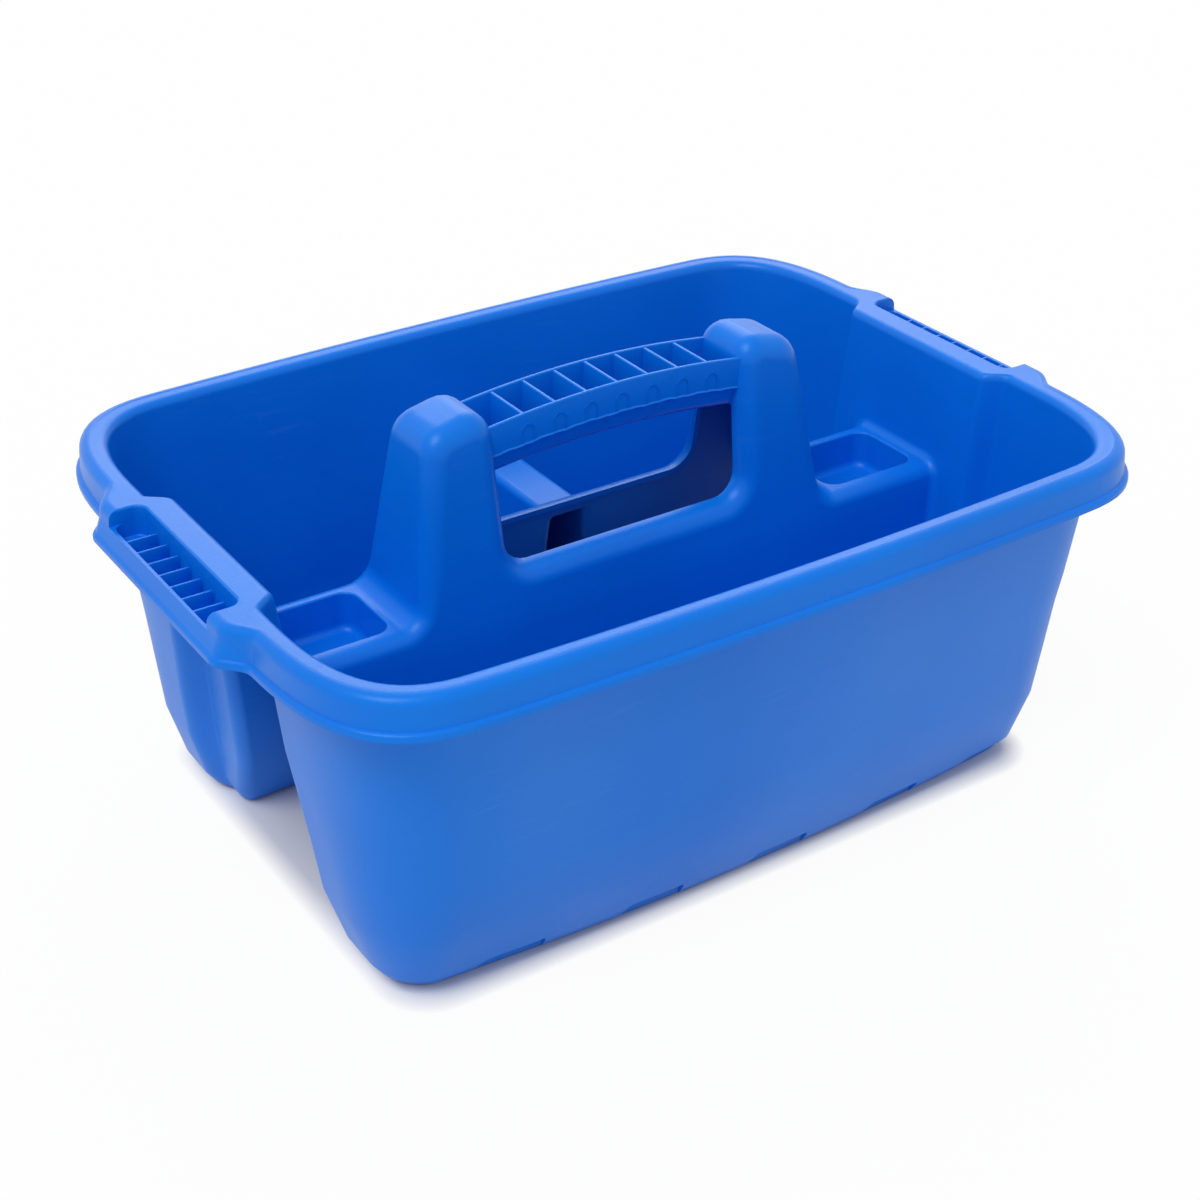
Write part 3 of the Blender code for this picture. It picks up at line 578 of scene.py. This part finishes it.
def open_window(item):
    """Cut the hand space out of the sill and of the posts' inner faces, a lip's width inside the walls."""
    low = ridge_half(SILL) - WINDOW_LIP
    lean = (ridge_half(SILL) - ridge_half(POST_NECK)) / (POST_NECK - SILL)

    def on_post(face):
        middle = face.calc_center_median()
        return near(abs(middle.x), POST_INNER, 0.0012) and abs(middle.y) < 0.002 and middle.z > SILL

    def in_window(face):
        places = [vertex.co for vertex in face.verts]
        inside = all(abs(place.x) < 0.0625 and abs(place.y) < 0.027 for place in places)
        return inside and all(SILL - 0.0003 < place.z < POST_NECK + 0.0001 for place in places)

    def within_lip(face):
        centre = face.calc_center_median()
        return in_window(face) and abs(centre.y) < low - lean * (centre.z - SILL) - 0.001

    def at_bottom(face):
        return min(vertex.co.z for vertex in face.verts) < BLOCK_BOTTOM + 0.001

    open_mesh(item)
    select_faces(item, on_post)
    bpy.ops.mesh.bisect(plane_co=(0, 0, POST_NECK), plane_no=(0, 0, 1))
    for sign in (-1, 1):
        select_faces(item, in_window)
        bpy.ops.mesh.bisect(plane_co=(0, sign * low, SILL), plane_no=(0, sign, lean))
    select_faces(item, within_lip)
    bpy.ops.mesh.delete(type="FACE")
    bpy.ops.mesh.select_all(action="DESELECT")
    select_faces(item, at_bottom)
    bpy.ops.mesh.delete(type="FACE")
    close_mesh()


def thin_handles(item):
    """Vertex group of the wall's thickness, less round the troughs of the end handles."""
    group = item.vertex_groups.new(name="wall")
    for vertex in item.data.vertices:
        x, y, z = abs(vertex.co.x), abs(vertex.co.y), vertex.co.z
        beside_trough = y < 0.060 and z < HANDLE_TOP - 0.0002 and x > 0.1890
        group.add([vertex.index], TROUGH_WALL_SHARE if beside_trough else 1.0, "REPLACE")


def coat_outside(item):
    """Give every face the moulding's outside material: a little rougher, with a painted sheen in its colour.
    """
    item.data.materials.append(plastic())
    item.data.materials.append(plastic(outer=True))
    for face in item.data.polygons:
        face.material_index = 1
    return item


def pocket_block(side):
    """Cutter of a shelf's pocket."""
    return well("pocket", side, POCKET, 0.0070, POCKET_FLOOR, SHELF, 0.0035, 0.0010, 0.0008)


def build_moulding():
    """The whole tray but for its grip, ribs and fins, as one sheet with its wall."""
    item = tub_block()
    boolean(item, ridge_block(), "UNION")
    boolean(item, partition_block(), "UNION")
    weigh_edges(item, joint_radius)
    round_edges(item, 4)
    for side, _ in SIDES:
        boolean(item, pocket_block(side), "DIFFERENCE")
        boolean(item, trough_block(side), "DIFFERENCE")
    open_window(item)
    thin_handles(item)
    item.data.materials.append(plastic())
    item.data.materials.append(plastic(outer=True))
    apply_modifier(
        item, "SOLIDIFY", thickness=WALL, offset=-1.0, use_even_offset=True, vertex_group="wall",
        material_offset=1)
    boolean(item, back_patch(), "UNION")
    cut_notches(item)
    return item


def foot_reach(x, z):
    """How far the outside of a long wall stands from the middle, near the foot."""
    half, depth, bow = between(WALLS, z)[:3]
    return depth - bow * (x / half) ** 2 + 1.08 * WALL


def offset_line(points, distance):
    """Rising line of (y, z) moved outwards by distance, with its corners kept."""
    normals = []
    for (y, z), (next_y, next_z) in zip(points, points[1:]):
        normals.append(Vector((next_z - z, y - next_y)).normalized())
    pairs = zip([normals[0]] + normals, normals + [normals[-1]])
    moved = []
    for (y, z), (before, after) in zip(points, pairs):
        shift = (before + after) * (distance / (1 + before.dot(after)))
        moved.append((y + shift.x, z + shift.y))
    return moved


def back_patch():
    """The piece of the back wall that closes the hollow of the partition."""
    rings = []
    under, foot, skin = 0.0001, 0.0072, 0.0006
    for x in (-0.0290, -0.0145, 0.0, 0.0145, 0.0290):
        line = []
        for z in [level for level, _ in WALLS if level < SILL] + [SILL]:
            half, depth, bow = between(WALLS, z)[:3]
            line.append((depth - bow * (x / half) ** 2, z))
        outer = offset_line(line, WALL + 0.00004)
        inner = offset_line(line, skin)
        (y, z), (next_y, next_z) = outer[:2]
        corner = y - (next_y - y) * (z - under) / (next_z - z)
        outer = [(corner - foot, under, 0.0), (corner, under, foot)] + [(y, z, 0.0) for y, z in outer[1:]]
        section = turned(outer, 5)[1:] + [point for point in reversed(inner) if point[1] > foot]
        rings.append([(x, y, z) for y, z in section])
    return coat_outside(ring_loft("back_patch", rings))


def cut_notches(item):
    """Shallow notches in the foot's front, each leaning with the wall."""
    front = -0.1350
    for middle in NOTCH_PLACES:
        rings = []
        for z, depth, half in NOTCH_LEVELS:
            left, right = middle - half, middle + half
            far_left, far_right = (depth - foot_reach(x, z) for x in (left, right))
            rings.append([(left, front, z), (right, front, z), (right, far_right, z), (left, far_left, z)])
        boolean(item, coat_outside(ring_loft("notch", rings)), "DIFFERENCE")


def arched(pair, x):
    """Height of an arched line at x, from its heights at the middle and at the posts."""
    return pair[0] + (pair[1] - pair[0]) * (x / GRIP_SPAN) ** 2


def flash_wave(x, phase):
    """Small uneven wander of the mould's flash line."""
    slow = 0.00016 * math.sin(x * 310 + phase)
    middling = 0.00012 * math.sin(x * 790 + 2.1 * phase)
    quick = 0.00007 * math.sin(x * 1730 + phase)
    return slow + middling + quick


def grip_section(x):
    """Closed section of the grip at x: rounded keel, flash line and open trough."""
    top = arched(GRIP_TOP, x)
    keel = arched(GRIP_KEEL, x)
    lip = 0.0006
    inner = GRIP_HALF - GRIP_WALL
    floor = keel + 0.0022
    bowl = 0.0050
    keel_half, keel_power, flash_drop = GRIP_HALF - 0.0016, 0.86, 0.0010
    points = []
    for sign, phase in ((-1, 0.4), (1, 2.2)):
        flash = arched(GRIP_FLASH, x) + flash_wave(x, phase)
        half = [(GRIP_HALF + out, flash + up) for out, up in FLASH_PROFILE]
        half += arc((GRIP_HALF - lip, top - lip), lip, 0, 90, 3)
        half += arc((inner + lip, top - lip), lip, 90, 180, 3)
        half += arc((inner - 0.0005 - bowl, floor + bowl), bowl, 0, -90, 5)
        keel_side = []
        for k in range(7):
            angle = math.radians(90 * k / 6)
            out, up = math.sin(angle) ** keel_power, 1 - math.cos(angle) ** keel_power
            keel_side.append((keel_half * out, keel + (flash - flash_drop - keel) * up))
        half = keel_side[1:] + half
        if sign < 0:
            points += [(x, -y, z) for y, z in reversed(half)]
            points.append((x, 0.0, keel))
        else:
            points += [(x, y, z) for y, z in half]
    return points


def build_grip():
    """The grip, drawn through its sections from post to post."""
    rings = [grip_section(-GRIP_END + 2 * GRIP_END * k / GRIP_STEPS) for k in range(GRIP_STEPS + 1)]
    return ring_loft("grip", rings)


def cube(name, size, place):
    """Box of that size round that place."""
    deselect()
    bpy.ops.mesh.primitive_cube_add(size=1.0, location=place, scale=size)
    bpy.ops.object.transform_apply(location=True, rotation=True, scale=True)
    item = bpy.context.object
    item.name = name
    item.data.name = name
    return item


def select_edges(item, test):
    """Edit mode with the edges selected whose middle and direction pass the test."""
    open_mesh(item)
    bpy.ops.mesh.select_mode(type="EDGE")
    bpy.ops.mesh.select_all(action="DESELECT")
    mesh = bmesh.from_edit_mesh(item.data)
    for edge in mesh.edges:
        a, b = (vertex.co for vertex in edge.verts)
        edge.select_set(test((a + b) / 2, (b - a).normalized()))
    bmesh.update_edit_mesh(item.data)


def copy_of(item, name, move):
    """Copy of the item with a mesh of its own, moved."""
    twin = item.copy()
    twin.data = item.data.copy()
    twin.name = name
    twin.data.name = name
    bpy.context.scene.collection.objects.link(twin)
    activate(twin)
    bpy.ops.transform.translate(value=move)
    bpy.ops.object.transform_apply(location=True, rotation=False, scale=False)
    return twin


def rib_place(k):
    """Where rib k stands along the grip, counted from the left."""
    return (k - (RIB_COUNT - 1) / 2) * RIB_SPACING


def build_ribs():
    """The ribs across the grip, all copied from one."""
    thick = bpy.context.scene.tray_sizes.rib_thickness
    top = GRIP_TOP[0] - 0.0004
    low = GRIP_KEEL[0] + 0.0016
    wide = 2 * (GRIP_HALF - GRIP_WALL + 0.0002)
    first = cube("grip_rib_1", (thick, wide, top - low), (0, 0, (top + low) / 2))
    select_edges(first, lambda m, d: m.z > top - 0.0001 and abs(d.y) > 0.9)
    bpy.ops.mesh.bevel(offset=0.0005, segments=3)
    close_mesh()
    select_edges(first, lambda m, d: m.z < low + 0.0001 and abs(d.x) > 0.9)
    bpy.ops.mesh.bevel(offset=0.0098, segments=7)
    close_mesh()
    ribs = []
    for k in range(RIB_COUNT):
        x = rib_place(k)
        ribs.append(copy_of(first, "rib_%d" % (k + 1), (x, 0, arched(GRIP_TOP, x) - GRIP_TOP[0])))
    bpy.data.objects.remove(first, do_unlink=True)
    return ribs


def tab_outline(inset):
    """Arch with cut corners, seen from the front; its foot is open at the flash line."""
    half, height, cut = TAB[0] - inset, TAB[1] - inset, TAB[2] - 0.4 * inset
    left = [(-half, 0.0), (-half, height - cut), (-half + cut, height)]
    return left + [(-x, z) for x, z in reversed(left)]


def build_marks():
    """Raised outlines on both sides of the grip, one below each rib."""
    marks = []
    sideways, levels = 0.0015, ((-0.0004, 1.0), (0.00018, 1.0), (0.00030, 0.9952))
    outer, inner = tab_outline(0.0), tab_outline(TAB_LINE)
    loop = outer + inner[::-1]
    for sign in (-1, 1):
        for k in range(RIB_COUNT):
            x = rib_place(k) + sideways
            foot = arched(GRIP_FLASH, x) + 0.0004
            rings = []
            for height, share in levels:
                y = sign * (GRIP_HALF + height)
                rings.append([(x + px * share, y, foot + pz) for px, pz in loop])
            marks.append(ring_loft("mark_%d_%d" % (sign + 2, k + 1), rings))
    return join(marks, "grip_marks")


def join(items, name):
    """Join the items into one with that name."""
    deselect()
    for item in items:
        item.select_set(True)
    bpy.context.view_layer.objects.active = items[0]
    bpy.ops.object.join()
    items[0].name = name
    items[0].data.name = name
    return items[0]


def build_fins(side, name):
    """The fins of one end handle, standing on the low outer wall of its trough."""
    root, foot = 0.2042, TROUGH_FLOOR - 0.0003
    top = LOW_WALL - 0.0001
    thick = bpy.context.scene.tray_sizes.fin_thickness
    place = (side * (root + FIN_TIP) / 2, 0, (top + foot) / 2)
    first = cube("fin", (root - FIN_TIP, thick, top - foot), place)

    def at_tip(middle):
        return abs(middle.x) < FIN_TIP + 0.0001

    select_edges(first, lambda m, d: at_tip(m) and m.z < foot + 0.0001 and abs(d.y) > 0.9)
    bpy.ops.mesh.bevel(offset=0.0022, segments=4)
    close_mesh()
    select_edges(
        first, lambda m, d: (at_tip(m) and abs(d.z) > 0.9) or (m.z > top - 0.0001 and abs(d.x) > 0.9))
    bpy.ops.mesh.bevel(offset=0.0004, segments=2)
    close_mesh()
    fins = [copy_of(first, "fin_%d" % k, (0, y, 0)) for k, y in enumerate(FIN_PLACES)]
    bpy.data.objects.remove(first, do_unlink=True)
    return join(fins, name)


class Wire:
    """A value of a node tree that is added, subtracted and multiplied like a number."""

    def __init__(self, sheet, socket):
        self.sheet = sheet
        self.socket = socket

    def join(self, operation, first, second):
        return self.sheet.node("ShaderNodeMath", {"operation": operation}, {0: first, 1: second})

    def __add__(self, other):
        return self.join("ADD", self, other)

    def __radd__(self, other):
        return self.join("ADD", other, self)

    def __sub__(self, other):
        return self.join("SUBTRACT", self, other)

    def __rsub__(self, other):
        return self.join("SUBTRACT", other, self)

    def __mul__(self, other):
        return self.join("MULTIPLY", self, other)

    def __rmul__(self, other):
        return self.join("MULTIPLY", other, self)


class Sheet:
    """The node tree of a material or of the world, filled node by node."""

    def __init__(self, owner):
        owner.use_nodes = True
        self.tree = owner.node_tree
        self.tree.nodes.clear()

    def node(self, kind, settings, inputs, output=0):
        """Add a node, give it its settings, then its values and links; returns one of its outputs."""
        item = self.tree.nodes.new(kind)
        for name, value in settings.items():
            setattr(item, name, value)
        for name, value in inputs.items():
            if isinstance(value, Wire):
                self.tree.links.new(value.socket, item.inputs[name])
            else:
                item.inputs[name].default_value = value
        return Wire(self, item.outputs[output]) if item.outputs else item

    def noise(self, place, scale, detail=2.0, stretch=(1.0, 1.0, 1.0)):
        if stretch != (1.0, 1.0, 1.0):
            place = self.node("ShaderNodeMapping", {}, {"Vector": place, "Scale": stretch})
        return self.node("ShaderNodeTexNoise", {}, {"Vector": place, "Scale": scale, "Detail": detail})

    def ramp(self, value, low, high, to_low=0.0, to_high=1.0):
        return self.node("ShaderNodeMapRange", {}, {0: value, 1: low, 2: high, 3: to_low, 4: to_high})

    def mix(self, share, first, second):
        return self.node("ShaderNodeMix", {"data_type": "RGBA"}, {0: share, 6: first, 7: second}, 2)


def plastic(outer=False):
    """Semi-matte polypropylene with a fine grain, uneven sheen, faint rubbing and a few dark specks.

    The outside of the walls is a little rougher than the polished upper side, and its colour is painted
    paler, a little all over and more in soft patches, as a painted sheen of the white surroundings.
    """
    name = "polypropylene_outside" if outer else "polypropylene"
    material = bpy.data.materials.get(name)
    if material:
        return material
    colours, sizes = bpy.context.scene.tray_colours, bpy.context.scene.tray_sizes
    material = bpy.data.materials.new(name)
    sheet = Sheet(material)
    place = sheet.node("ShaderNodeTexCoord", {}, {}, "Object")
    soft = sheet.noise(place, 11.0, 3.0)
    grain = sheet.noise(place, 1500.0, 2.0)
    peel = sheet.noise(place, 420.0, 3.0)
    streaks = sheet.noise(place, 34.0, 4.0, (1.0, 1.0, 9.0))
    patches = sheet.noise(place, 16.0, 2.0)
    rubbed = sheet.ramp(streaks, 0.58, 0.78) * sheet.ramp(patches, 0.48, 0.70)
    cells = sheet.node("ShaderNodeTexVoronoi", {}, {"Vector": place, "Scale": 62.0}, "Distance")
    speck = sheet.ramp(cells, 0.022, 0.030, 1.0, 0.0) * sheet.ramp(sheet.noise(place, 24.0), 0.60, 0.64)
    base = tuple(colours.plastic)
    light = (base[0], 1.16 * base[1], 1.10 * base[2], 1.0)
    varied = sheet.mix(sheet.ramp(soft, 0.30, 0.75), base, light)
    painted_sheen_patches = sheet.ramp(sheet.noise(place, 7.0, 2.0, (1.0, 1.0, 0.6)), 0.42, 0.66)
    # Outside: painted sheen, paler in soft patches and a little paler all over; both sides: rubbed wear in
    # the same paler colour
    share = 0.30 * rubbed + 0.20 * painted_sheen_patches + 0.03 if outer else 0.14 * rubbed
    paler = sheet.mix(share, varied, tuple(colours.wear_and_sheen))
    colour = sheet.mix(0.75 * speck, paler, (0.010, 0.020, 0.060, 1.0))
    height = 0.65 * grain + 0.35 * peel
    bump = sheet.node(
        "ShaderNodeBump", {}, {"Strength": sizes.grain, "Distance": 0.0004, "Height": height}, "Normal")
    roughness = (0.36 if outer else 0.27) + 0.10 * soft + 0.12 * rubbed
    shader = sheet.node("ShaderNodeBsdfPrincipled", {}, {
        "Base Color": colour, "Roughness": roughness, "Normal": bump, "IOR": 1.49,
        "Specular IOR Level": 0.42 if outer else 0.32, "Specular Tint": (0.55, 0.80, 1.0, 1.0)})
    sheet.node("ShaderNodeOutputMaterial", {}, {"Surface": shader})
    return material


def seen_rays(sheet):
    """1 for camera, glossy and transmission rays, which see the white surroundings, else 0."""
    shares = [sheet.node("ShaderNodeLightPath", {}, {}, name) for name in
              ("Is Camera Ray", "Is Glossy Ray", "Is Transmission Ray")]
    return shares[0] + shares[1] + shares[2]


def white_world():
    """Even soft light all round, white where the camera and reflections see it."""
    world = bpy.data.worlds.new("surroundings")
    sheet = Sheet(world)
    soft = sheet.node("ShaderNodeBackground", {}, {"Color": (1.0, 1.0, 1.0, 1.0), "Strength": AMBIENT})
    white = sheet.node("ShaderNodeBackground", {}, {"Color": (1.0, 1.0, 1.0, 1.0), "Strength": 1.0})
    shader = sheet.node("ShaderNodeMixShader", {}, {0: seen_rays(sheet), 1: soft, 2: white})
    sheet.node("ShaderNodeOutputWorld", {}, {"Surface": shader})
    bpy.context.scene.world = world


def paper():
    """White paper that stays white for the camera and keeps the tray's shadow round its foot."""
    material = bpy.data.materials.new("paper")
    sheet = Sheet(material)
    place = sheet.node("ShaderNodeTexCoord", {}, {}, "Object")
    away = []
    for axis, half in zip("XY", FOOT_HALF):
        along = sheet.node("ShaderNodeSeparateXYZ", {}, {0: place}, axis)
        past = sheet.node("ShaderNodeMath", {"operation": "ABSOLUTE"}, {0: along}) - half
        past = sheet.node("ShaderNodeMath", {"operation": "MAXIMUM"}, {0: past, 1: 0.0})
        away.append(past * past)
    clear = sheet.ramp(away[0] + away[1], FOOT_CLEAR[0] ** 2, FOOT_CLEAR[1] ** 2)
    pale = tuple(bpy.context.scene.tray_colours.floor)
    dim = tuple(0.97 * value for value in pale[:3]) + (1.0,)
    tone = sheet.mix(sheet.noise(place, 40.0), pale, dim)
    diffuse = sheet.node("ShaderNodeBsdfDiffuse", {}, {"Color": tone})
    glow = sheet.node("ShaderNodeEmission", {}, {"Color": (1.0, 1.0, 1.0, 1.0), "Strength": 1.0})
    share = PAPER_GLOW * seen_rays(sheet) * clear
    shader = sheet.node("ShaderNodeMixShader", {}, {0: share, 1: diffuse, 2: glow})
    sheet.node("ShaderNodeOutputMaterial", {}, {"Surface": shader})
    return material


def aim(item, target):
    """Turn a lamp or the camera to look at the target."""
    item.rotation_euler = (Vector(target) - item.location).to_track_quat("-Z", "Y").to_euler()


def finish_piece(item, *nodes, angle=35):
    """Smooth and colour the item, let it ride on the body and take the place of its CAD nodes."""
    activate(item)
    bpy.ops.object.shade_smooth_by_angle(angle=math.radians(angle))
    if not item.data.materials:
        item.data.materials.append(plastic())
    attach(item, BODY)
    if nodes:
        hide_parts(*nodes)


class TRAY_OT_moulding(bpy.types.Operator):
    """Build the moulding: rim, compartments, ridge, posts, partition, pockets and troughs in one sheet"""

    bl_idname = "tray.moulding"
    bl_label = "Moulding"

    def execute(self, context):
        own = ["grip_trough", "left_handle_fins", "right_handle_fins"]
        own += ["grip_rib_%d" % (k + 1) for k in range(RIB_COUNT)]
        item = build_moulding()
        finish_piece(item, *[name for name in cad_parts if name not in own])
        apply_modifier(item, "WEIGHTED_NORMAL", keep_sharp=True, weight=60)
        return {"FINISHED"}


class TRAY_OT_grip(bpy.types.Operator):
    """Build the arched grip between the posts, with its uneven flash line and rounded keel"""

    bl_idname = "tray.grip"
    bl_label = "Grip"

    def execute(self, context):
        finish_piece(build_grip(), "grip_trough", angle=40)
        return {"FINISHED"}


class TRAY_OT_ribs(bpy.types.Operator):
    """Build the ribs across the grip"""

    bl_idname = "tray.ribs"
    bl_label = "Grip ribs"

    def execute(self, context):
        for k, rib in enumerate(build_ribs()):
            finish_piece(rib, "grip_rib_%d" % (k + 1))
        return {"FINISHED"}


class TRAY_OT_marks(bpy.types.Operator):
    """Build the raised outlines on both sides of the grip"""

    bl_idname = "tray.marks"
    bl_label = "Grip outlines"

    def execute(self, context):
        finish_piece(build_marks(), angle=40)
        return {"FINISHED"}


class TRAY_OT_fins(bpy.types.Operator):
    """Build the thin fins in the troughs of both end handles"""

    bl_idname = "tray.fins"
    bl_label = "Handle fins"

    def execute(self, context):
        for side, word in SIDES:
            finish_piece(build_fins(side, word + "_fins"), word + "_handle_fins")
        return {"FINISHED"}


class TRAY_OT_stage(bpy.types.Operator):
    """Build the white floor, the lights and the camera of the photo"""

    bl_idname = "tray.stage"
    bl_label = "Stage"

    def execute(self, context):
        deselect()
        bpy.ops.mesh.primitive_plane_add(size=8, location=(0.0, 0.0, -0.00002))
        floor = bpy.context.object
        floor.name = "floor"
        floor.data.materials.append(paper())
        white_world()
        for name, place, energy, angle in LAMPS:
            bpy.ops.object.light_add(type="SUN", location=place)
            lamp = bpy.context.object
            lamp.name = name
            lamp.data.energy = energy
            lamp.data.angle = angle
            aim(lamp, (0.0, 0.0, 0.1))
        bpy.ops.object.camera_add(location=CAMERA_PLACE)
        camera = bpy.context.object
        camera.data.lens = CAMERA_LENS
        camera.data.sensor_width = CAMERA_SENSOR
        aim(camera, CAMERA_TARGET)
        context.scene.camera = camera
        context.scene.view_settings.view_transform = "Standard"
        return {"FINISHED"}


class TRAY_PT_panel(bpy.types.Panel):
    """Lists the builders of the tray with the sizes and colours that they use"""

    bl_idname = "TRAY_PT_panel"
    bl_label = "Grooming tray"
    bl_space_type = "VIEW_3D"
    bl_region_type = "UI"
    bl_category = "Tray"

    def draw(self, context):
        scene = context.scene
        for group in (scene.tray_sizes, scene.tray_colours):
            for name in group.__annotations__:
                self.layout.prop(group, name)
        for operator in OPERATORS:
            self.layout.operator(operator.bl_idname)


OPERATORS = (TRAY_OT_moulding, TRAY_OT_grip, TRAY_OT_ribs, TRAY_OT_marks, TRAY_OT_fins, TRAY_OT_stage)
CLASSES = (TraySizes, TrayColours) + OPERATORS + (TRAY_PT_panel,)


def register():
    for item in CLASSES:
        bpy.utils.register_class(item)
    bpy.types.Scene.tray_sizes = bpy.props.PointerProperty(type=TraySizes)
    bpy.types.Scene.tray_colours = bpy.props.PointerProperty(type=TrayColours)


def unregister():
    del bpy.types.Scene.tray_colours
    del bpy.types.Scene.tray_sizes
    for item in reversed(CLASSES):
        bpy.utils.unregister_class(item)


def main():
    register()
    bpy.ops.tray.moulding()
    bpy.ops.tray.grip()
    bpy.ops.tray.ribs()
    bpy.ops.tray.marks()
    bpy.ops.tray.fins()
    bpy.ops.tray.stage()


if __name__ == "__main__":
    main()
